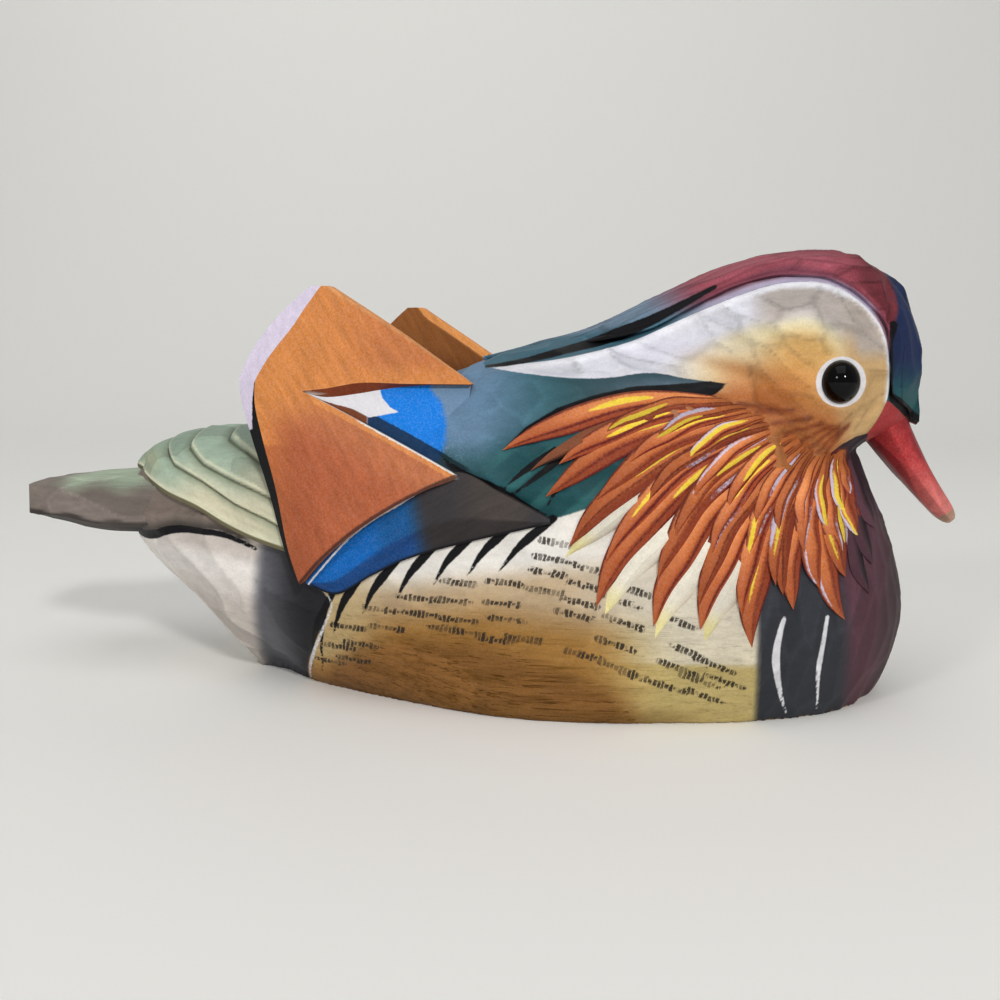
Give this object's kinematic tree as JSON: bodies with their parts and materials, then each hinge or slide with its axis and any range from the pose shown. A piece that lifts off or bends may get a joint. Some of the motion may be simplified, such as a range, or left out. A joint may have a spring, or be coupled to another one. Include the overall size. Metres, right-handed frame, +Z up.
{
  "type": "mandarin duck figurine",
  "caption": "Carved and painted wooden mandarin duck that stands on its flat underside, with upright sail feathers, a ruff of pointed feathers and black bead eyes.",
  "frame": {"origin": "centre of the length and width, on the plane of the flat underside", "axes": "+X towards the bill, +Y towards the duck's left side, +Z up"},
  "size_m": [0.1457, 0.0522, 0.0664],
  "materials": {
    "painted_wood": "hand-brushed matt acrylic paint and stain over carved wood, with a light satin varnish",
    "black_bead": "polished gloss black"
  },
  "bodies": {
    "root": {"duck_body": "painted_wood", "eye_right": "black_bead", "eye_left": "black_bead"}
  },
  "joints": []
}
